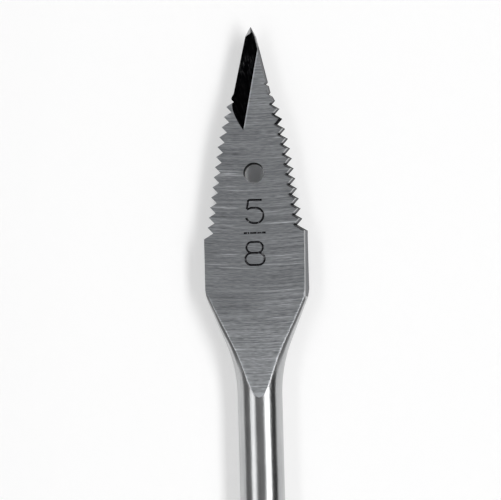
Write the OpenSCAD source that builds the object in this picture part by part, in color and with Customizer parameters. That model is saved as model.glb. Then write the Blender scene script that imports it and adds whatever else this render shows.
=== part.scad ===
// Self-feeding spade drill bit for wood, one piece of steel.
// A round rod is splayed into a paddle, ground flat on both faces, and its tapered edges are
// cut into teeth that pull the bit into the wood. It lies on its shank with the marked face up.

/* [Overall] */
// Length from the shank's end to the tip
overall_len = 152.4; // [110:0.1:300]
// Diameter that the bit cuts, over its two shoulders
cut_d = 15.875; // [14.5:0.005:18]
// Diameter of the round shank
shank_d = 6.86; // [6.4:0.02:7.4]

/* [Ground faces] */
// Thickness of the blade at the tip
tip_t = 1.66; // [1.5:0.02:2]
// Angle by which each face leans out from the tip towards the shank
face_taper = 0.75; // [0.5:0.05:1]
// Radius of the wheel whose curve carries each face out to the shank
wheel_r = 171; // [150:1:190]
// Distance from the tip to the place where the wheel's curve starts
wheel_from_tip = 32.2; // [30:0.1:34]

/* [Flare] */
// Distance from the tip to the end of the parallel sides
land_from_tip = 41.45; // [39:0.05:43]
// Angle between each side of the flare and the axis
flare_angle = 22.3; // [20:0.1:25]
// Radius of the side's hollow curve into the shank
flare_r = 21.8; // [16:0.1:26]

/* [Point] */
// Width of the chisel edge at the tip
chisel_w = 0.4; // [0.3:0.05:0.6]
// Length of the blunt end of the point
blunt_len = 1.46; // [1.2:0.02:1.8]
// Half width of the point where its blunt end meets its long sides
blunt_w = 0.8; // [0.7:0.01:0.95]
// Angle between each long side of the point and the axis
point_angle = 12.7; // [11.5:0.1:13.5]
// Distance from the tip to the place where the sides open out to the full teeth
runin_from_tip = 10.3; // [9.5:0.1:11]
// Angle between that opening and the axis
runin_angle = 28; // [22:0.5:34]
// Slope of the two bevels that meet in the chisel edge
bevel_slope = 38; // [32:1:45]
// Lean of each bevel across the face
bevel_lean = 28.5; // [20:0.5:35]

/* [Teeth] */
// Pitch of the teeth along the axis
pitch = 1.555; // [1.4:0.005:1.7]
// Angle between a tooth's two flanks
tooth_angle = 79; // [74:0.5:86]
// Distance from the tip to the last tooth space on the first edge
last_root_from_tip = 31.87; // [31:0.01:32.5]
// Distance by which the second edge's tooth spaces sit nearer to the tip
edge_stagger = 1.17; // [0:0.01:1.5]
// Number of tooth spaces on the first edge
first_edge_spaces = 14; // [10:1:15]
// Number of tooth spaces on the second edge
second_edge_spaces = 15; // [10:1:15]
// Depth of the last tooth space below the cutting diameter
shoulder_step = 1.43; // [1.3:0.01:1.6]
// Angle between the line of tooth roots and the axis
root_taper = 8.1; // [7.5:0.1:8.8]
// Distance from the tip to the place where that line steepens
knee_from_tip = 18.5; // [16:0.1:21]
// Angle between the steeper line of roots and the axis
lead_taper = 14; // [11:0.1:15]
// Relief angle behind each cutting edge
relief = 11; // [6:0.5:13]
// Lead angle of the teeth across the edge
lead_angle = 2.2; // [0:0.1:4]
// Amount by which each side draws in along the parallel land
back_taper = 0.12; // [0.05:0.01:0.2]

/* [Flute] */
// Distance from the tip to the flute's lower end
flute_from_tip = 15.96; // [14.5:0.02:17]
// Distance of that end from the axis, on the side of the cutting edge
flute_offset = 1.47; // [1.3:0.01:1.7]
// Angle between the flute's wall and the axis
flute_angle = 11.3; // [9.5:0.1:12.5]
// Rake angle of the flute's floor
flute_rake = 8; // [5:0.5:10]
// Length over which the flute's floor curves up to its lower end
flute_runout = 5.4; // [4.5:0.1:6]
// Radius of that curve
flute_wheel_r = 38; // [32:1:46]

/* [Pull hole] */
// Diameter of the hole through the blade
hole_d = 3; // [2.4:0.1:3.6]
// Distance from the tip to the hole's centre
hole_from_tip = 22.64; // [20:0.02:25]
// Width of the bevel around the hole's rims
hole_rim = 0.05; // [0.05:0.01:0.2]

/* [Hexagonal end] */
// Width across the flats of the hexagon
hex_af = 6.35; // [6.2:0.01:6.38]
// Width across the corners of the hexagon
corner_d = 7.3; // [7:0.02:7.32]
// Length of the hexagon's flats
hex_len = 28; // [22:0.5:36]
// Slope at which the flats run out to the round shank
flat_runout = 45; // [30:1:60]
// Bevel around the shank's end
end_bevel = 0.8; // [0.4:0.05:1.2]
// Distance from the end to the middle of the locking groove
groove_from_end = 11; // [9.5:0.1:13]
// Diameter at the bottom of the locking groove
groove_d = 5; // [4.6:0.05:5.4]
// Radius of the locking groove's section
groove_r = 2; // [1.6:0.1:2.4]

/* [Hidden] */
$fn = 96;

cut_r = cut_d / 2;
shank_r = shank_d / 2;
corner_r = corner_d / 2;
// Length over which the upset end runs down to the shank
upset_run = max(abs(corner_r - shank_r), 0.05);
// Distance from any cut to outside the bit
far = 14;
// The wheels sit this much deeper than the flats, so that the two cuts cross along clear lines
dip = 0.003;

// Half the blade's thickness at the shoulder
shoulder_h = tip_t / 2 + last_root_from_tip * tan(face_taper);
// Half the blade's thickness at the end of the parallel sides
land_h = tip_t / 2 + land_from_tip * tan(face_taper) + pow(land_from_tip - wheel_from_tip, 2) / (2 * wheel_r);

// The arms bend away from the shank along this radius, and the bend starts here
arm_bend_r = flare_r + shank_r;
bend_from_tip = land_from_tip + (cut_r - shank_r) / tan(flare_angle) + flare_r * tan(flare_angle / 2);
// The plate ends where the arms' round sides already cover its corners
plate_len = land_from_tip - 1.2 * (shank_r - sqrt(pow(shank_r, 2) - pow(land_h, 2))) / tan(flare_angle);
arm_top_from_tip = plate_len - 4;
arm_len = (bend_from_tip - arm_bend_r * sin(flare_angle) - arm_top_from_tip) / cos(flare_angle);

// A tooth's flanks lean equally from the square to the line of roots
upper_flank = tooth_angle / 2 + root_taper;
lower_flank = tooth_angle / 2 - root_taper;

// Radius of the line of roots at a distance from the tip
function root_r(a) =
    a > knee_from_tip
        ? cut_r - shoulder_step - (last_root_from_tip - a) * tan(root_taper)
        : root_r(knee_from_tip + 0.001) - (knee_from_tip - a) * tan(lead_taper);

// Crest between the root at a distance from the tip and the next one towards the shank,
// where the lower flank of one meets the upper flank of the other
function crest(a) =
    let (
        rise = root_r(a + pitch) - root_r(a),
        up = (pitch + rise * tan(upper_flank)) / (tan(lower_flank) + tan(upper_flank))
    )
    [root_r(a) + up, a + up * tan(lower_flank)];

// Distances from the tip to an edge's roots, first to last
function roots(last, count) = [for (i = [count - 1 : -1 : 0]) last - i * pitch];

// Outline of a toothed edge as [radius, distance from the tip], from the first root to the shoulder
function edge_line(last, count) = [
    for (a = roots(last, count))
        each a < last - pitch / 2 ? [[root_r(a), a], crest(a)] : [[root_r(a), a]],
    [cut_r, last + (cut_r - root_r(last)) * tan(lower_flank)]
];

// Puts children's Y axis along the bit towards the tip and their Z axis out of the marked face,
// with the origin at the tip on the middle plane
module on_middle() {
    translate([0, 0, overall_len])
        rotate([90, 0, 0])
            children();
}

// The same, with the origin on the ground face
module on_face() {
    on_middle()
        translate([0, 0, tip_t / 2])
            rotate([-face_taper, 0, 0])
                children();
}

// A cutter for the side of the cutting edge on the marked face. Its outline, given as
// [radius, distance from the tip], holds at half the thickness h in front of the middle plane,
// and falls back behind it by the relief and lead angles.
module edge_cutter(outline, h) {
    points = [
        for (p = outline)
            [h * sin(relief) - p[0] * cos(relief), -p[1] * cos(lead_angle)]
    ];
    translate([0, 0, overall_len])
        rotate([0, 0, -relief])
            rotate([90 - lead_angle, 0, 0])
                linear_extrude(height = 2 * far, center = true)
                    polygon(points);
}

// Takes off what lies outside the point's sides
module point_cut() {
    runin_w = blunt_w + (runin_from_tip - blunt_len) * tan(point_angle);
    edge_cutter(
        [
            [chisel_w / 2, -far],
            [chisel_w / 2, 0],
            [blunt_w, blunt_len],
            [runin_w, runin_from_tip],
            [far, runin_from_tip + (far - runin_w) / tan(runin_angle)],
            [far, -far]
        ],
        tip_t / 2
    );
}

// Cuts the teeth, the shoulder and the relieved side below it
module tooth_cut(last, count) {
    line = edge_line(last, count);
    first = line[0];
    shoulder = line[len(line) - 1];
    side_end = land_from_tip + 6;
    edge_cutter(
        concat(
            [[far, first[1] - (far - first[0]) * tan(upper_flank)]],
            line,
            [
                [shoulder[0] - back_taper, side_end],
                [far, side_end]
            ]
        ),
        shoulder_h
    );
}

// Grinds one face flat, and out to the shank along the wheel's curve
module face_cut() {
    on_face() {
        translate([-far, -wheel_from_tip, 0])
            cube([2 * far, wheel_from_tip + far, far]);
        translate([0, -wheel_from_tip, wheel_r - dip])
            rotate([0, 90, 0])
                cylinder(r = wheel_r, h = 2 * far, center = true, $fn = 1440);
    }
}

// Grinds the hollow in front of one cutting edge: a raked floor with a wall beside it
module flute_cut() {
    depth = flute_wheel_r - sqrt(pow(flute_wheel_r, 2) - pow(flute_runout, 2));
    on_face()
        translate([-flute_offset, -flute_from_tip, 0])
            rotate([0, 0, -flute_angle])
                rotate([0, flute_rake, 0]) {
                    translate([-far, flute_runout, -depth])
                        cube([far, 2 * far, far]);
                    translate([-far, flute_runout, flute_wheel_r - depth - dip])
                        rotate([0, 90, 0])
                            cylinder(r = flute_wheel_r, h = far, $fn = 720);
                }
}

// One of the two bevels that meet in the chisel edge
module bevel_cut() {
    on_middle()
        rotate([0, 0, bevel_lean])
            rotate([-bevel_slope, 0, 0])
                translate([-far, -3, 0])
                    cube([2 * far, 3 + far, far]);
}

// The hole through the blade, with its bevelled rims
module hole_cut() {
    on_middle()
        translate([0, -hole_from_tip, 0])
            cylinder(d = hole_d, h = 2 * far, center = true);
    for (turn = [0, 180])
        rotate([0, 0, turn])
            on_face()
                translate([0, -hole_from_tip, -2 * hole_rim])
                    cylinder(d1 = hole_d - 2 * hole_rim, d2 = hole_d + 4 * hole_rim, h = 3 * hole_rim);
}

// The rod: round, upset and bevelled at its end for the hexagon, running up into the plate
module rod() {
    rod_top = overall_len - arm_top_from_tip;
    rotate_extrude()
        polygon([
            [0, 0],
            [corner_r - end_bevel, 0],
            [corner_r, end_bevel],
            [corner_r, hex_len],
            [shank_r, hex_len + upset_run],
            [shank_r, rod_top],
            [0, rod_top]
        ]);
}

// One arm of the splayed rod: a bend, then a straight run into the plate
module arm() {
    translate([arm_bend_r, 0, overall_len - bend_from_tip]) {
        rotate([90, 0, 0])
            rotate([0, 0, 180 - flare_angle])
                rotate_extrude(angle = flare_angle)
                    translate([arm_bend_r, 0])
                        circle(r = shank_r);
        rotate([0, flare_angle, 0])
            translate([-arm_bend_r, 0, 0])
                cylinder(r = shank_r, h = arm_len);
    }
}

// The plate that the teeth are cut in
module plate() {
    plate_w = 2 * cut_r + 4;
    plate_t = 1.8 * shank_r;
    translate([-plate_w / 2, -plate_t / 2, overall_len - plate_len])
        cube([plate_w, plate_t, plate_len]);
}

// One flat of the hexagon, with its sloping run-out
module flat_cut() {
    rotate([90, 0, 0])
        linear_extrude(height = far, center = true)
            polygon([
                [hex_af / 2, -1],
                [hex_af / 2, hex_len],
                [hex_af / 2 + far, hex_len + far / tan(flat_runout)],
                [hex_af / 2 + far, -1]
            ]);
}

// The groove that a quick-change holder locks in
module groove_cut() {
    translate([0, 0, groove_from_end])
        rotate_extrude()
            translate([groove_d / 2 + groove_r, 0])
                circle(r = groove_r);
}

// The whole bit, upright on its shank's end
module upright() {
    difference() {
        union() {
            rod();
            arm();
            mirror([1, 0, 0])
                arm();
            plate();
        }
        for (turn = [0, 180])
            rotate([0, 0, turn]) {
                face_cut();
                point_cut();
                flute_cut();
                bevel_cut();
            }
        tooth_cut(last_root_from_tip, first_edge_spaces);
        rotate([0, 0, 180])
            tooth_cut(last_root_from_tip - edge_stagger, second_edge_spaces);
        hole_cut();
        for (i = [0 : 5])
            rotate([0, 0, 30 + 60 * i])
                flat_cut();
        groove_cut();
    }
}

// Laid on its shank, with the tip towards +Y and the marked face up
module spade_bit() {
    color([0.60, 0.61, 0.62])
        translate([0, -overall_len / 2, shank_r])
            rotate([-90, 0, 0])
                upright();
}

spade_bit();
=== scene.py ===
"""Spade drill bit: steel finishes, the stamped size and a plain studio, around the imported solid."""

import math

import bmesh
import bpy
from bpy.props import FloatProperty, FloatVectorProperty, PointerProperty
from mathutils import Matrix, Vector


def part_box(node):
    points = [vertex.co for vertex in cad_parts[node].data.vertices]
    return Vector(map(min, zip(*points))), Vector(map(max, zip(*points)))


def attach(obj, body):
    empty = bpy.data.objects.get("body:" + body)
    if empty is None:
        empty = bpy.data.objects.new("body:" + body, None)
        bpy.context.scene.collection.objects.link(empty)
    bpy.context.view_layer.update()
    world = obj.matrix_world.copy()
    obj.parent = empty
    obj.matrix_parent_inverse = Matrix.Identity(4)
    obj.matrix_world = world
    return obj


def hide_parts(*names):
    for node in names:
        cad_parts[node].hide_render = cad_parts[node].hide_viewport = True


bl_info = {
    "name": "Spade drill bit",
    "version": (1, 0, 0),
    "blender": (4, 5, 0),
    "location": "View3D > Sidebar > Spade bit",
    "description": "Finishes, stamped size and studio for a self-feeding spade drill bit",
    "category": "Object",
}

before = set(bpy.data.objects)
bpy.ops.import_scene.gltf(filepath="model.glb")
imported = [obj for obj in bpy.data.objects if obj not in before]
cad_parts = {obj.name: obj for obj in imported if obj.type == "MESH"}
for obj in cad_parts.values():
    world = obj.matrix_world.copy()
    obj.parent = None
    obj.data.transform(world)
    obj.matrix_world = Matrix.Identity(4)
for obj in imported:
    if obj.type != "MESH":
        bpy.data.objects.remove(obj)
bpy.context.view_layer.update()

NODE = "spade_bit"
BODY = "root"
STEEL_PIECE = "bit_steel"
MM = 0.001
LOW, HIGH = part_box(NODE)
TIP_Y = HIGH.y
AXIS_Z = (LOW.z + HIGH.z) / 2

# Sizes of the bit, as in the solid. Lengths are in mm, and places along the bit in mm from the tip.
# The ground faces: half the thickness at the tip, taper, the wheel's curve to the shank, and end
TIP_HALF, FACE_TAPER = 0.83, math.tan(math.radians(0.75))
WHEEL_FROM, WHEEL_R, FACE_END = 32.2, 171.0, 58.0
# The pull hole, and the reach of its wall and rim
HOLE_FROM, HOLE_REACH = 22.64, 1.85
# The flute: its lower end, and its wall's distance from the axis there and lean
FLUTE_FROM, FLUTE_OFFSET, FLUTE_LEAN = 15.96, 1.47, math.tan(math.radians(11.3))
# The teeth: pitch, the last root on each edge, and where they end
TOOTH_PITCH, LAST_ROOT_LEFT, LAST_ROOT_RIGHT, TEETH_END = 1.555, 31.87, 30.70, 32.0
# The end of the parallel sides
LAND_END = 41.6

# Where the finishes change, in mm. A pair is the start and end of a change, or a pair of limits.
# The last grinding pass ends short of where the face runs out, and is coarser towards both ends
LAST_PASS = 56.45, 56.65
COARSE_TIP, COARSE_SHANK = (12.0, 16.0), (40.0, 52.0)
# Limits of the smudges in the flute, and the end of the tip's bevels
HANDLED = 4.2, 7.6
TIP_BEVELS = 2.2, 3.6
# Painted shade on the tip-facing flanks and in the roots, and the dark first full teeth: limits of
# the flanks and of the first teeth, and where it starts on each edge
FLANK_SHADE, FIRST_TEETH = (11.8, 32.4), (13.4, 15.4)
DARK_FROM_LEFT, DARK_FROM_RIGHT = (8.0, 9.0), (11.6, 12.0)
# Painted shade round the hole: the radii where it fades, and the slant of its lower limit
HOLE_SHADE, HOLE_SLANT = (1.58, 1.70), 0.5
# The start of the painted highlight along the sides, and the end of the painted shade line below the
# flare's corners
HIGHLIGHT_START = 11.0, 13.0
FLARE_LINE_END = 50.0, 55.0

# Corners sharper than this aren't shaded smooth
SHARP = math.radians(20)
# Vertices of the solid closer than this, in metres, are one
MERGE = 1e-7
# The stamp's strokes: sides, the turn of each step round an arc, and the depth of wear in metres
STROKE_SIDES, ARC_STEP, WORN_DEPTH = 12, math.radians(12), 0.00002

# The studio: the point that its lights face, the picture's middle in mm across the blade and from
# the tip, the width of the camera's sensor in mm, and the floor
LIT_POINT = Vector((0, 0.03, AXIS_Z))
PICTURE_MIDDLE = -0.89, 34.38
SENSOR = 36.0
FLOOR_SIZE, FLOOR_GRAIN = 6.0, 40.0
# Length of the strips and boards as a share of their distance, and how much further out boards are
STRIP_SHARE, BOARD_OUT = 1.1, 1.02
# Boards, with the angles from straight above that they cover, in degrees, and their greys
BOARDS = (
    ("ceiling", -27, 25, 0.335),
    ("wall_left", -91, -51, 0.30),
    ("wall_right", 52, 101, 0.04),
)
# Watts that make a square metre of lamp white to look at
WHITE_WATTS = 4


class Value:
    """An output of a shader node. Arithmetic on it adds Math nodes."""

    def __init__(self, graph, socket):
        self.graph, self.socket = graph, socket

    def math(self, operation, first, second=0.0):
        return self.graph.add("ShaderNodeMath", {"operation": operation}, {0: first, 1: second})

    def __add__(self, other):
        return self.math("ADD", self, other)

    def __sub__(self, other):
        return self.math("SUBTRACT", self, other)

    def __rsub__(self, other):
        return self.math("SUBTRACT", other, self)

    def __mul__(self, other):
        return self.math("MULTIPLY", self, other)

    def __truediv__(self, other):
        return self.math("DIVIDE", self, other)

    def __rtruediv__(self, other):
        return self.math("DIVIDE", other, self)

    __radd__ = __add__
    __rmul__ = __mul__

    def most(self, other):
        return self.math("MAXIMUM", self, other)

    def least(self, other):
        return self.math("MINIMUM", self, other)

    def size(self):
        return self.math("ABSOLUTE", self)

    def square_root(self):
        return self.math("SQRT", self)

    def nearest(self, spacing):
        """Distance to the nearest multiple of a spacing."""
        turn = self.math("FRACT", self / spacing + 0.5)
        return (turn - 0.5).size() * spacing

    def step(self, low, high):
        """0 below low, 1 above high, and smooth between."""
        return self.graph.add(
            "ShaderNodeMapRange",
            {"interpolation_type": "SMOOTHSTEP"},
            {"Value": self, "From Min": low, "From Max": high},
        )

    def between(self, low, high, soft):
        """1 between two limits, 0 outside them, and smooth over a width inside each."""
        return self.step(low, low + soft) * (1.0 - self.step(high - soft, high))


class Graph:
    """A material's or the world's nodes."""

    def __init__(self, tree):
        self.tree = tree
        tree.nodes.clear()

    def add(self, kind, settings=None, inputs=None, output=0):
        """Adds a node, sets it, fills its sockets, and gives the named output."""
        node = self.tree.nodes.new(kind)
        for name, value in (settings or {}).items():
            setattr(node, name, value)
        for name, value in (inputs or {}).items():
            if isinstance(value, Value):
                self.tree.links.new(value.socket, node.inputs[name])
            else:
                node.inputs[name].default_value = value
        return Value(self, node.outputs[output]) if node.outputs else None

    def split(self, vector):
        """The three parts of a vector."""
        node = self.add("ShaderNodeSeparateXYZ", {}, {0: vector}).socket.node
        return [Value(self, socket) for socket in node.outputs]

    def position(self):
        """Millimetres across the blade, from the tip and above the middle."""
        x, y, z = self.split(self.add("ShaderNodeTexCoord", output="Object"))
        return x / MM, (TIP_Y - y) / MM, (z - AXIS_Z) / MM

    def normal(self):
        return self.add("ShaderNodeNewGeometry", output="Normal")

    def noise(self, x, y, z, detail=2.0, roughness=0.5):
        """Noise whose grain is one unit of each coordinate."""
        where = self.add("ShaderNodeCombineXYZ", {}, {"X": x, "Y": y, "Z": z})
        return self.add(
            "ShaderNodeTexNoise", {},
            {"Vector": where, "Scale": 1.0, "Detail": detail, "Roughness": roughness},
        )

    def blend(self, share, first, second):
        """A colour between two colours."""
        return self.add("ShaderNodeMix", {"data_type": "RGBA"}, {0: share, 6: first, 7: second}, 2)

    def soft_edge(self, radius, share=1.0):
        """The surface's normal, turned over its sharp edges as if they were broken with a stone."""
        broken = self.add("ShaderNodeBevel", {"samples": 6}, {"Radius": radius})
        return self.add(
            "ShaderNodeMix", {"data_type": "VECTOR"}, {0: share, 4: self.normal(), 5: broken}, 1)

    def bump(self, height, depth, normal):
        return self.add(
            "ShaderNodeBump", {},
            {"Height": height, "Distance": depth, "Strength": 1.0, "Normal": normal},
        )

    def shown(self):
        """1 for what the camera sees, directly, in metal or through glass."""
        rays = ("Is Camera Ray", "Is Glossy Ray", "Is Transmission Ray")
        camera, glossy, passed = (self.add("ShaderNodeLightPath", output=ray) for ray in rays)
        return camera.most(glossy).most(passed)

    def surface(self, colour, roughness, normal, metallic=1.0, specular=0.5, white=None):
        """A finished surface, with a share of it plain white if that is given."""
        shader = self.add("ShaderNodeBsdfPrincipled", {}, {
            "Base Color": colour, "Roughness": roughness, "Normal": normal, "Metallic": metallic,
            "Specular IOR Level": specular,
        })
        if white is not None:
            plain = self.add("ShaderNodeEmission", {}, {"Color": (1, 1, 1, 1), "Strength": 1.0})
            shader = self.add("ShaderNodeMixShader", {}, {0: white, 1: shader, 2: plain})
        self.add("ShaderNodeOutputMaterial", {}, {"Surface": shader})


def face_height(along):
    """Height of a ground face above the blade's middle, in mm, for a number or a shader's value."""
    past = along - WHEEL_FROM
    bend = past.most(0.0) if isinstance(past, Value) else max(past, 0.0)
    return TIP_HALF + along * FACE_TAPER + bend * bend / (2 * WHEEL_R)


def place(across, along, up=0.0):
    """A point given in mm across the blade, from the tip and above the middle, in the row frame."""
    return Vector((across * MM, TIP_Y - along * MM, AXIS_Z + up * MM))


def new_material(name):
    material = bpy.data.materials.new(name)
    material.use_nodes = True
    return material, Graph(material.node_tree)


def rgb(colour):
    return (*colour, 1.0)


def ground_steel(finish):
    """Faces ground across the blade, with a painted highlight beside the flute, painted shade along
    the teeth and round the hole, and dark first full teeth.
    """
    material, graph = new_material("ground steel")
    across, along, up = graph.position()
    front = up.step(-0.1, 0.1)
    # Positive towards the edge that trails, on the front and on the back
    trail = across * (front * 2.0 - 1.0)
    # Marks of the wheel, in other places of the noise on the front than on the back
    arc = along + across * across / (2 * finish.grind_arc / MM)
    side = front * 37.0
    streaks = graph.noise(across / 11.0, arc / 0.22, side, 2.0, 0.6)
    hairs = graph.noise(across / 1.1, arc / 0.09, side + 9.0)
    patches = graph.noise(across / 9.0, arc / 1.6, side + 21.0)
    scratches = graph.noise(across / 8.0, arc / 0.26, side + 5.0, 0.0).step(0.70, 0.77)
    last_pass = 1.0 - along.step(*LAST_PASS)
    coarse = along.step(*COARSE_SHANK).most((1.0 - along.step(*COARSE_TIP)) * 0.5)
    marks = ((streaks - 0.5) * 0.8 + (hairs - 0.5) * 0.8) * (1.0 + coarse * 0.8) * last_pass
    # A painted highlight: a thin lighter band beside the flute's wall
    past_wall = trail + FLUTE_OFFSET - (FLUTE_FROM - along) * FLUTE_LEAN
    flute_highlight = past_wall.step(-0.05, 0.0) * (1.0 - past_wall.step(0.10, 0.24))
    flute_highlight = flute_highlight * (1.0 - along.step(FLUTE_FROM - 0.8, FLUTE_FROM))
    tone = 0.43 + marks + (patches - 0.5) * 0.3 + coarse * 0.16
    tone = tone + scratches * 0.4 * last_pass + flute_highlight * 0.5 + (1.0 - last_pass) * 0.25
    colour = graph.blend(tone.step(0.0, 1.3), rgb(finish.ground_dark), rgb(finish.ground_light))
    # Painted shade along the trailing teeth, on flanks that face the tip, and dark all round the
    # first full teeth
    _, tipward, level = graph.split(graph.soft_edge(finish.flank_shade_width))
    flank_shade = tipward.step(0.05, 0.22) * along.between(*FLANK_SHADE, 0.8) * 0.9
    first = (1.0 - level.size().step(0.80, 0.95)) * along.between(*FIRST_TEETH, 0.4)
    pitch = flank_shade.most(first) * trail.step(2.0, 2.5)
    # Painted shade round the hole, on the side of the tip
    down = along - HOLE_FROM
    tip_side = 1.0 - (down + trail * HOLE_SLANT).step(-0.7, 0.0)
    hole_shade = (1.0 - (across * across + down * down).square_root().step(*HOLE_SHADE)) * tip_side
    colour = graph.blend(pitch.most(hole_shade), colour, rgb(finish.edge_black_and_shade))
    roughness = finish.ground_rough + (hairs - 0.5) * 0.16 + (streaks - 0.5) * 0.10
    # Only the flare has broken edges
    normal = graph.soft_edge(finish.edge_break, along.step(LAND_END - 1.5, LAND_END + 1.0))
    normal = graph.bump(streaks * 0.7 + hairs * 0.4 + scratches * 0.4, finish.grind_depth, normal)
    graph.surface(colour, roughness, normal)
    return material


def flute_steel(finish):
    """The flutes: smoothly ground and blackened, with a few smudges."""
    material, graph = new_material("black flute")
    across, along, up = graph.position()
    lean = across - along * FLUTE_LEAN
    lines = graph.noise(lean / 0.12, along / 5.0, up)
    handled = 0.15 + along.between(*HANDLED, 1.0) * 0.85
    smudges = graph.noise(lean / 0.35, along / 1.2, up, 3.0, 0.6).step(0.46, 0.80) * handled
    colour = graph.blend(smudges, rgb(finish.flute_dark), rgb(finish.flute_light))
    normal = graph.bump(lines, finish.grind_depth * 0.1, graph.normal())
    graph.surface(colour, finish.flute_rough + (lines - 0.5) * 0.05 + smudges * 0.2, normal)
    return material


def edge_steel(finish):
    """Teeth, shoulders and sides: milled through the thickness, dark with heat, with painted
    highlights and painted shade, and dark first full teeth.
    """
    material, graph = new_material("milled edge")
    across, along, up = graph.position()
    right = across.step(-0.05, 0.05)
    toothed = 1.0 - along.step(TEETH_END - 0.5, TEETH_END)
    lines = graph.noise(along / 0.10, across / 0.5, up / 0.9)
    grain = graph.noise(along / 0.5, across / 0.5, up / 0.5)
    tone = (0.5 + (lines - 0.5) * 1.2 + (grain - 0.5) * 0.6).step(0.0, 1.0)
    colour = graph.blend(tone, rgb(finish.edge_dark), rgb(finish.edge_light_and_highlight))
    colour = graph.blend(0.85, colour, rgb(finish.edge_heat))
    # A painted highlight where the side meets the face behind it, and painted shade along the cutting
    # edge
    lead = up * (1.0 - right * 2.0)
    half = face_height(along)
    light = (0.0 - lead - half).step(-1.0, -0.4) * along.step(*HIGHLIGHT_START)
    colour = graph.blend(light * (0.5 + toothed * 0.3), colour, rgb(finish.edge_light_and_highlight))
    dark = (lead - half).step(-0.9, -0.4) * toothed
    colour = graph.blend(dark * 0.75, colour, rgb(finish.edge_black_and_shade))
    # The tip's two bevels: painted shade on both, then a painted highlight on one of them
    tip = 1.0 - along.step(*TIP_BEVELS)
    colour = graph.blend(tip * 0.6, colour, rgb(finish.edge_black_and_shade))
    colour = graph.blend(tip * lead.step(-0.03, 0.03) * 0.6, colour, rgb(finish.edge_light_and_highlight))
    # Painted shade in the roots and on the flanks that face the tip, and dark all over the first full
    # teeth
    from_root = along - LAST_ROOT_LEFT + right * (LAST_ROOT_LEFT - LAST_ROOT_RIGHT)
    root = 1.0 - from_root.nearest(TOOTH_PITCH).step(0.10, 0.32)
    _, tipward, _ = graph.split(graph.normal())
    pitch = root.most(tipward.step(0.3, 0.5) * 0.75).most(along.between(*FIRST_TEETH, 0.4))
    started = along.step(*DARK_FROM_LEFT) * (1.0 - right) + along.step(*DARK_FROM_RIGHT) * right
    # The mask of the painted shade and of the dark first teeth, which are dull and not metal
    baked = pitch * started * toothed
    colour = graph.blend(baked, colour, rgb(finish.edge_black_and_shade))
    roughness = finish.edge_rough + (grain - 0.5) * 0.12
    normal = graph.bump(lines, finish.grind_depth, graph.soft_edge(finish.edge_break * 0.3))
    graph.surface(colour, roughness, normal, 0.1 - baked * 0.1, specular=0.0)
    return material


def round_steel(finish):
    """The shank and the forged flare: satin, faintly drawn along the rod, with fine pits."""
    material, graph = new_material("satin shank")
    across, along, up = graph.position()
    drawn = graph.noise(across / 0.16, along / 9.0, up / 0.16)
    pits = graph.noise(across / 0.20, along / 0.26, up / 0.20, 3.0)
    patches = graph.noise(across / 1.6, along / 6.0, up / 1.6)
    tone = 0.5 + (drawn - 0.5) * 0.8 + (patches - 0.5) * 0.7 - pits.step(0.62, 0.72) * 0.25
    colour = graph.blend(tone.step(0.0, 1.0), rgb(finish.shank_dark), rgb(finish.shank_light))
    # A painted shade line below the flare's corners, dull and not metal
    below = face_height(along) - up.size()
    flare_shade_line = below.step(0.04, 0.12) * (1.0 - (below + (patches - 0.5) * 0.4).step(0.35, 0.9))
    flare_shade_line = flare_shade_line * along.step(LAND_END - 1.0, LAND_END) * (1.0 - along.step(*FLARE_LINE_END)) * 0.8
    colour = graph.blend(flare_shade_line, colour, rgb(finish.edge_black_and_shade))
    roughness = finish.shank_rough + (pits - 0.5) * 0.10 + (patches - 0.5) * 0.06
    normal = graph.soft_edge(finish.edge_break)
    normal = graph.bump(pits * 0.6 + drawn * 0.4, finish.pit_depth, normal)
    graph.surface(colour, roughness, normal, 1.0 - flare_shade_line, specular=0.04)
    return material


def hole_steel(finish):
    """The drilled hole's wall, near black with painted shade."""
    material, graph = new_material("drilled hole")
    across, along, up = graph.position()
    turns = graph.noise(up / 0.07, across / 4.0, along / 4.0)
    colour = graph.blend(turns.step(0.3, 0.7), rgb(finish.hole_shade_dark), rgb(finish.hole_shade_light))
    normal = graph.bump(turns, finish.grind_depth, graph.normal())
    graph.surface(colour, 0.6 + (turns - 0.5) * 0.2, normal, 0.0, specular=0.05)
    return material


def stamp_steel(mark):
    """The stamped grooves: dark oxide, worn here and there."""
    material, graph = new_material("stamped groove")
    across, along, up = graph.position()
    wear = graph.noise(across / 0.34, along / 0.34, up / 0.8, 3.0, 0.6)
    worn = wear.step(0.56, 0.70)
    colour = graph.blend(worn, rgb(mark.oxide), rgb(mark.worn))
    normal = graph.bump(wear, WORN_DEPTH, graph.normal())
    graph.surface(colour, 0.55 + (wear - 0.5) * 0.3, normal, worn * 0.6, specular=0.1)
    return material


FINISHES = {
    "ground": ground_steel,
    "flute": flute_steel,
    "edge": edge_steel,
    "round": round_steel,
    "hole": hole_steel,
}


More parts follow.
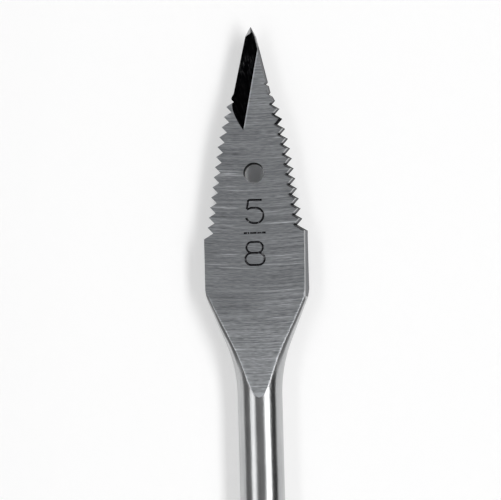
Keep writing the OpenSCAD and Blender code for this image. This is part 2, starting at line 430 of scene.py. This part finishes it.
def finish_of(face):
    """Which finish a face of the solid has, from where it is and which way it points."""
    middle, normal = face.calc_center_median(), face.normal.copy()
    along = (TIP_Y - middle.y) / MM
    up = (middle.z - AXIS_Z) / MM
    across = middle.x / MM
    if up < 0:  # the back is the front turned half round the axis
        across, normal = -across, Vector((-normal.x, normal.y, -normal.z))
    off = max(
        abs(abs(v.co.z - AXIS_Z) / MM - face_height((TIP_Y - v.co.y) / MM)) for v in face.verts
    )
    if along < FACE_END and normal.z > 0.96 and off < 0.02:
        return "ground"
    if along > LAND_END:
        return "round"
    down = along - HOLE_FROM
    if math.hypot(across, down) < HOLE_REACH:
        # The wall all round, and the rim on the side of the tip, take the hole's near-black painted
        # shade
        drilled = abs(normal.z) < 0.3
        in_hole_shade = down + across * HOLE_SLANT < 0
        return "hole" if drilled or in_hole_shade else "round"
    if along < FLUTE_FROM + 1 and normal.y < 0.45:
        wall = (FLUTE_FROM - along) * FLUTE_LEAN - FLUTE_OFFSET
        on_floor = normal.z > 0.9
        on_wall = normal.x < -0.5 and across > wall - 0.3
        if on_floor or on_wall:
            return "flute"
    return "edge"


def mark_sharp(mesh):
    """Smooth shading that breaks at each change of finish and at each corner."""
    bm = bmesh.new()
    bm.from_mesh(mesh)
    for face in bm.faces:
        face.smooth = True
    for edge in bm.edges:
        finishes = {face.material_index for face in edge.link_faces}
        edge.smooth = edge.is_manifold and len(finishes) == 1 and edge.calc_face_angle() < SHARP
    bm.to_mesh(mesh)
    bm.free()


def link(name, data):
    made = bpy.data.objects.new(name, data)
    bpy.context.scene.collection.objects.link(made)
    return made


def require(name):
    piece = bpy.data.objects.get(name)
    if piece is None:
        raise RuntimeError(f"{name} is made first")
    return piece


class SteelFinish(bpy.types.PropertyGroup):
    """Colours and sizes of the bit's finishes."""

    ground_dark: FloatVectorProperty(
        name="Ground dark", description="Dark streaks of the ground faces", subtype="COLOR",
        default=(0.21, 0.22, 0.232), min=0, max=1)
    ground_light: FloatVectorProperty(
        name="Ground light", description="Light streaks of the ground faces", subtype="COLOR",
        default=(0.74, 0.76, 0.79), min=0, max=1)
    ground_rough: FloatProperty(
        name="Ground roughness", description="Roughness of the ground faces", subtype="FACTOR",
        default=0.36, min=0, max=1)
    grind_arc: FloatProperty(
        name="Grinding arc", description="Radius of the grinding lines' arc", default=0.08,
        unit="LENGTH")
    grind_depth: FloatProperty(
        name="Grinding depth", description="Depth of the grinding lines", default=0.000006,
        unit="LENGTH", precision=6)
    edge_break: FloatProperty(
        name="Edge break", description="Radius of the broken edges of the flare", default=0.00038,
        unit="LENGTH", precision=5)
    flute_dark: FloatVectorProperty(
        name="Flute dark", description="Blackened steel of the flutes", subtype="COLOR",
        default=(0.004, 0.004, 0.005), min=0, max=1)
    flute_light: FloatVectorProperty(
        name="Flute light", description="Smudges in the flutes", subtype="COLOR",
        default=(0.14, 0.14, 0.145), min=0, max=1)
    flute_rough: FloatProperty(
        name="Flute roughness", description="Roughness of the flutes", subtype="FACTOR",
        default=0.12, min=0, max=1)
    edge_dark: FloatVectorProperty(
        name="Edge dark", description="Dark lines of the milled edges", subtype="COLOR",
        default=(0.30, 0.305, 0.31), min=0, max=1)
    # Also the colour of the painted highlights on the sides and on the tip
    edge_light_and_highlight: FloatVectorProperty(
        name="Edge light", description="Light lines of the milled edges", subtype="COLOR",
        default=(0.70, 0.705, 0.71), min=0, max=1)
    edge_heat: FloatVectorProperty(
        name="Edge heat", description="Edges darkened by the heat of cutting", subtype="COLOR",
        default=(0.14, 0.143, 0.15), min=0, max=1)
    # Near black: painted shade along the edges, round the hole and below the flare's corners, and the
    # dark first full teeth
    edge_black_and_shade: FloatVectorProperty(
        name="Edge pitch", description="Wood pitch and scale baked on along the edges",
        subtype="COLOR", default=(0.02, 0.02, 0.021), min=0, max=1)
    # Width of the painted shade on the face along the teeth
    flank_shade_width: FloatProperty(
        name="Pitch line", description="Width of the pitch on the face along the teeth",
        default=0.0004, unit="LENGTH", precision=5)
    edge_rough: FloatProperty(
        name="Edge roughness", description="Roughness of the milled edges", subtype="FACTOR",
        default=0.40, min=0, max=1)
    shank_dark: FloatVectorProperty(
        name="Shank dark", description="Dark drawing lines of the shank", subtype="COLOR",
        default=(0.38, 0.385, 0.39), min=0, max=1)
    shank_light: FloatVectorProperty(
        name="Shank light", description="Light drawing lines of the shank", subtype="COLOR",
        default=(0.56, 0.565, 0.57), min=0, max=1)
    shank_rough: FloatProperty(
        name="Shank roughness", description="Roughness of the shank", subtype="FACTOR",
        default=0.21, min=0, max=1)
    pit_depth: FloatProperty(
        name="Pit depth", description="Depth of the shank's pits", default=0.000012,
        unit="LENGTH", precision=6)
    # The hole's wall is near black: painted shade, with faint turns
    hole_shade_dark: FloatVectorProperty(
        name="Hole dark", description="Dark turns of the hole's wall", subtype="COLOR",
        default=(0.003, 0.003, 0.003), min=0, max=1)
    hole_shade_light: FloatVectorProperty(
        name="Hole light", description="Light turns of the hole's wall", subtype="COLOR",
        default=(0.02, 0.02, 0.021), min=0, max=1)


class SizeMark(bpy.types.PropertyGroup):
    """The stamped size, 5 over 8."""

    stroke_r: FloatProperty(
        name="Stroke radius", description="Radius of the stamp's rounded strokes", default=0.00016,
        unit="LENGTH", precision=6)
    bar_rise: FloatProperty(
        name="Bar rise", description="How much shallower the bar is stamped", default=0.00007,
        unit="LENGTH", precision=6)
    oxide: FloatVectorProperty(
        name="Oxide", description="Colour of the dark oxide in the grooves", subtype="COLOR",
        default=(0.005, 0.005, 0.006), min=0, max=1)
    worn: FloatVectorProperty(
        name="Worn", description="Colour of the steel where the oxide is worn", subtype="COLOR",
        default=(0.22, 0.22, 0.23), min=0, max=1)


class Studio(bpy.types.PropertyGroup):
    """Light, floor and camera."""

    floor: FloatVectorProperty(
        name="Floor", description="Colour of the floor", subtype="COLOR",
        default=(0.97, 0.97, 0.97), min=0, max=1)
    white: FloatProperty(
        name="White share", description="How much of the floor shows as plain white",
        subtype="FACTOR", default=0.42, min=0, max=1)
    key: FloatProperty(
        name="Key strip", description="Brightness of the strip on the right", default=1.9)
    fill: FloatProperty(
        name="Fill strip", description="Brightness of the strip on the left", default=0.72)
    lamp_left: FloatProperty(
        name="Left lamp", description="Brightness of the floor's lamp on the left", default=2.6)
    lamp_right: FloatProperty(
        name="Right lamp", description="Brightness of the floor's lamp on the right", default=7.5)
    room: FloatProperty(name="Room light", description="Brightness of the room", default=0.465)
    distance: FloatProperty(
        name="Distance", description="From the bit to the strips and boards", default=0.5,
        unit="LENGTH")
    lens: FloatProperty(
        name="Lens", description="Focal length in millimetres", default=600.0, unit="CAMERA")
    frame_w: FloatProperty(
        name="Frame width", description="Width that the camera takes in at the bit's axis",
        default=0.076982, unit="LENGTH", precision=5)
    lean_side: FloatProperty(
        name="Side lean", description="Lean of the camera to the right of straight above",
        default=math.radians(2.5), unit="ROTATION")
    lean_back: FloatProperty(
        name="Back lean", description="Lean of the camera towards the shank",
        default=math.radians(4.0), unit="ROTATION")
    turn: FloatProperty(
        name="Turn", description="Turn of the bit in the picture", default=math.radians(1.496),
        unit="ROTATION")


class SPADE_OT_steel(bpy.types.Operator):
    """Makes the bit's steel: a merged copy of the solid with a finish on each of its surfaces"""

    bl_idname = "spade.steel"
    bl_label = "Steel"

    def execute(self, context):
        finish = context.scene.spade_finish
        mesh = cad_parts[NODE].data.copy()
        mesh.name = STEEL_PIECE
        bm = bmesh.new()
        bm.from_mesh(mesh)
        bmesh.ops.remove_doubles(bm, verts=bm.verts, dist=MERGE)
        order = list(FINISHES)
        for face in bm.faces:
            face.material_index = order.index(finish_of(face))
        mesh.materials.clear()
        for make in FINISHES.values():
            mesh.materials.append(make(finish))
        bm.to_mesh(mesh)
        bm.free()
        mark_sharp(mesh)
        piece = link(STEEL_PIECE, mesh)
        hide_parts(NODE)
        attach(piece, BODY)
        return {"FINISHED"}


class Stroke:
    """A rounded stroke of the stamp: a disc pushed along lines and swung round arcs, in mm."""

    def __init__(self, bm, across, along, heading, radius):
        self.bm = bm
        self.at = Vector((across, -along, 0))
        self.heading = Vector((math.cos(heading), math.sin(heading), 0))
        turn = self.heading.to_track_quat("Z", "Y").to_matrix().to_4x4()
        made = bmesh.ops.create_circle(
            bm, cap_ends=True, segments=STROKE_SIDES, radius=radius,
            matrix=Matrix.Translation(self.at) @ turn,
        )
        self.end = [made["verts"][0].link_faces[0]]

    def move_on(self, made):
        """Takes the new disc as the end, and deletes the last one if it is inside the stroke."""
        left = [face for face in self.end if all(len(e.link_faces) > 2 for e in face.edges)]
        bmesh.ops.delete(self.bm, geom=left, context="FACES_ONLY")
        self.end = [g for g in made if isinstance(g, bmesh.types.BMFace)]

    def line(self, length):
        made = bmesh.ops.extrude_face_region(self.bm, geom=self.end)["geom"]
        verts = [g for g in made if isinstance(g, bmesh.types.BMVert)]
        bmesh.ops.translate(self.bm, verts=verts, vec=self.heading * length)
        self.move_on(made)
        self.at += self.heading * length
        return self

    def arc(self, radius, angle):
        """Swings round by an angle, to the left where it is positive."""
        side = Vector((-self.heading.y, self.heading.x, 0)) * math.copysign(radius, angle)
        made = bmesh.ops.spin(
            self.bm, geom=self.end, cent=self.at + side, axis=(0, 0, 1), angle=angle,
            steps=max(3, round(abs(angle) / ARC_STEP)), use_merge=False, use_normal_flip=False,
            use_duplicate=False, dvec=(0, 0, 0), space=Matrix(),
        )["geom_last"]
        self.move_on(made)
        turn = Matrix.Rotation(angle, 3, "Z")
        self.at = self.at + side + turn @ -side
        self.heading = turn @ self.heading
        return self


def closed_loop(bm, across, along, half_w, half_h, radius):
    """A closed stroke with straight top and bottom and round ends."""
    straight = 2 * (half_w - half_h)
    pen = Stroke(bm, across - straight / 2, along + half_h, 0.0, radius)
    start = pen.end
    pen.line(straight).arc(half_h, math.pi).line(straight).arc(half_h, math.pi)
    rims = {vert for face in start + pen.end for vert in face.verts}
    bmesh.ops.delete(bm, geom=start + pen.end, context="FACES_ONLY")
    bmesh.ops.remove_doubles(bm, verts=list(rims), dist=radius / 50)


class SPADE_OT_size_mark(bpy.types.Operator):
    """Stamps the size, 5 over 8, into the face"""

    bl_idname = "spade.size_mark"
    bl_label = "Size mark"

    def execute(self, context):
        mark = context.scene.spade_mark
        piece = require(STEEL_PIECE)
        radius = mark.stroke_r / MM
        bm = bmesh.new()
        # The 5: its top, its stem, and its bowl
        Stroke(bm, 1.10, 26.77, math.pi, radius).line(2.10)
        Stroke(bm, -0.98, 26.74, math.radians(-100), radius).line(1.47)
        bowl = Stroke(bm, -1.24, 28.24, math.radians(27), radius).line(0.25)
        bowl.arc(1.45, math.radians(-27)).line(0.45).arc(1.19, -math.pi).line(0.30)
        bowl.arc(1.25, math.radians(-70))
        # The 8: a loop, and an arch that stands on it
        closed_loop(bm, -0.174, 35.86, 1.467, 0.938, radius)
        arch = Stroke(bm, 0.25, 34.91, 0.0, radius * 0.96)
        arch.arc(0.835, math.pi).line(0.87).arc(0.835, math.pi)
        # The bar between them, stamped so lightly that it breaks up
        deep = set(bm.verts)
        dashes = (-1.80, 0.50), (-1.20, 0.26), (-0.84, 1.02), (0.26, 0.66), (1.0, 0.58)
        for start, length in dashes:
            Stroke(bm, start, 31.84, 0.0, radius).line(length)
        for vert in bm.verts:
            rise = 0.0 if vert in deep else mark.bar_rise / MM
            height = face_height(-vert.co.y) + vert.co.z + rise
            vert.co = place(vert.co.x, -vert.co.y, height)
        bmesh.ops.recalc_face_normals(bm, faces=bm.faces)
        mesh = bpy.data.meshes.new("stamp")
        bm.to_mesh(mesh)
        bm.free()
        mesh.materials.append(stamp_steel(mark))
        stamp = link("stamp", mesh)
        cut = piece.modifiers.new("stamp", "BOOLEAN")
        cut.object = stamp
        cut.operation = "DIFFERENCE"
        cut.solver = "EXACT"
        cut.use_self = True
        cut.material_mode = "TRANSFER"
        context.view_layer.update()
        shape = piece.evaluated_get(context.evaluated_depsgraph_get())
        stamped = bpy.data.meshes.new_from_object(shape)
        piece.modifiers.clear()
        piece.data = stamped
        stamped.name = STEEL_PIECE
        bpy.data.objects.remove(stamp)
        mark_sharp(stamped)
        return {"FINISHED"}


def turned(out):
    """A turn that points Z along a direction square to the bit, and Y along the bit."""
    z, y = out.normalized(), Vector((0, 1, 0))
    return Matrix((y.cross(z), y, z)).transposed().to_4x4()


def board(name, width, length, centre, facing, material):
    """A flat board of the studio, turned towards a point."""
    bm = bmesh.new()
    bmesh.ops.create_grid(bm, x_segments=1, y_segments=1, size=0.5)
    spread = Matrix.Diagonal((width, length, 1, 1))
    matrix = Matrix.Translation(centre) @ turned(facing - centre) @ spread
    bmesh.ops.transform(bm, matrix=matrix, verts=bm.verts)
    mesh = bpy.data.meshes.new(name)
    bm.to_mesh(mesh)
    bm.free()
    mesh.materials.append(material)
    made = link(name, mesh)
    return made


def over_the_bit(distance, low, high):
    """Centre and width of what covers a span of degrees from straight above, right if positive."""
    low, high = math.radians(low), math.radians(high)
    angle = (low + high) / 2
    centre = LIT_POINT + Vector((math.sin(angle), 0, math.cos(angle))) * distance
    return centre, 2 * distance * math.tan((high - low) / 2)


def strip_light(name, low, high, level, distance):
    """A strip light beside the bit, over a span of angles from straight above."""
    centre, width = over_the_bit(distance, low, high)
    lamp = bpy.data.lights.new(name, "AREA")
    lamp.shape = "RECTANGLE"
    lamp.size, lamp.size_y = width, distance * STRIP_SHARE
    lamp.energy = level * WHITE_WATTS * lamp.size * lamp.size_y
    strip = link(name, lamp)
    strip.matrix_world = Matrix.Translation(centre) @ turned(centre - LIT_POINT)
    strip.visible_camera = False
    return strip


def lay_floor(studio):
    """A white floor, which keeps the bit's shadow."""
    material, graph = new_material("floor")
    across, along, _ = graph.position()
    where = graph.add("ShaderNodeTexCoord", output="Object")
    grain = graph.add("ShaderNodeTexNoise", {}, {"Vector": where, "Scale": FLOOR_GRAIN})
    pale = rgb(studio.floor)
    colour = graph.blend(grain, pale, tuple(c * 0.995 for c in pale))
    # The white share is left out below the bit, where the shade is deep
    taper, blade, flare, shank = along * 0.27 - 1.0, 6.0, 20.8 - along * 0.37, 2.0
    half_width = taper.least(blade).least(flare.most(shank))
    past_end = along.step(149.0, 151.0)
    clear = (across.size() - half_width).step(-0.5, 1.0).most(past_end)
    white = graph.shown() * clear * studio.white
    graph.surface(colour, 0.9, graph.normal(), 0.0, white=white)
    board("floor", FLOOR_SIZE, FLOOR_SIZE, Vector((0, 0, 0)), Vector((0, 0, 1)), material)


def light_the_bit(studio):
    """Boards and strips that the steel mirrors, and lamps that light the floor."""
    reach = studio.distance
    for name, low, high, grey in BOARDS:
        material, graph = new_material(name)
        graph.surface(rgb((grey, grey, grey)), 0.9, graph.normal(), 0.0)
        centre, width = over_the_bit(reach * BOARD_OUT, low, high)
        made = board(name, width, reach * STRIP_SHARE, centre, LIT_POINT, material)
        made.visible_camera = False
    strip_light("strip_left", -50, -29, studio.fill, reach).visible_diffuse = False
    strip_light("strip_right", 26, 51, studio.key, reach).visible_diffuse = False
    strip_light("lamp_left", -34, -24, studio.lamp_left, reach).visible_glossy = False
    strip_light("lamp_right", 26, 38, studio.lamp_right, reach * 2).visible_glossy = False


def light_the_room(scene, studio):
    """A dim white room, which shows as white."""
    scene.world = bpy.data.worlds.new("room")
    scene.world.use_nodes = True
    graph = Graph(scene.world.node_tree)
    level = graph.shown() * (1.0 - studio.room) + studio.room
    light = graph.add("ShaderNodeBackground", {}, {"Color": (1, 1, 1, 1), "Strength": level})
    graph.add("ShaderNodeOutputWorld", {}, {"Surface": light})


def aim_camera(scene, studio):
    """A camera far above the blade, leaning a little to the right and towards the shank."""
    camera = bpy.data.cameras.new("camera")
    camera.lens = studio.lens
    camera.sensor_width = SENSOR
    camera.clip_start, camera.clip_end = 0.01, 20.0
    eye = link("camera", camera)
    away = studio.frame_w * studio.lens / SENSOR
    back = Vector((math.tan(studio.lean_side), -math.tan(studio.lean_back), 1)).normalized()
    up = Vector((math.sin(studio.turn), math.cos(studio.turn), 0))
    right = up.cross(back).normalized()
    turn = Matrix((right, back.cross(right), back)).transposed().to_4x4()
    eye.matrix_world = Matrix.Translation(place(*PICTURE_MIDDLE) + back * away) @ turn
    scene.camera = eye


class SPADE_OT_stage(bpy.types.Operator):
    """Sets the bit on a white floor, among strip lights, boards and lamps, below the camera"""

    bl_idname = "spade.stage"
    bl_label = "Stage"

    def execute(self, context):
        scene, studio = context.scene, context.scene.spade_studio
        lay_floor(studio)
        light_the_bit(studio)
        light_the_room(scene, studio)
        aim_camera(scene, studio)
        scene.view_settings.view_transform = "Standard"
        return {"FINISHED"}


class SPADE_PT_panel(bpy.types.Panel):
    """Lists the bit's pieces and settings"""

    bl_idname = "SPADE_PT_panel"
    bl_label = "Spade bit"
    bl_space_type = "VIEW_3D"
    bl_region_type = "UI"
    bl_category = "Spade bit"

    def draw(self, context):
        scene = context.scene
        for group, operator in (
            (scene.spade_finish, SPADE_OT_steel),
            (scene.spade_mark, SPADE_OT_size_mark),
            (scene.spade_studio, SPADE_OT_stage),
        ):
            box = self.layout.box()
            box.operator(operator.bl_idname)
            for name in group.__annotations__:
                box.prop(group, name)


CLASSES = (
    SteelFinish, SizeMark, Studio,
    SPADE_OT_steel, SPADE_OT_size_mark, SPADE_OT_stage, SPADE_PT_panel,
)


def register():
    for cls in CLASSES:
        bpy.utils.register_class(cls)
    bpy.types.Scene.spade_finish = PointerProperty(type=SteelFinish)
    bpy.types.Scene.spade_mark = PointerProperty(type=SizeMark)
    bpy.types.Scene.spade_studio = PointerProperty(type=Studio)


def unregister():
    del bpy.types.Scene.spade_studio
    del bpy.types.Scene.spade_mark
    del bpy.types.Scene.spade_finish
    for cls in reversed(CLASSES):
        bpy.utils.unregister_class(cls)


def main():
    register()
    bpy.ops.spade.steel()
    bpy.ops.spade.size_mark()
    bpy.ops.spade.stage()


if __name__ == "__main__":
    main()
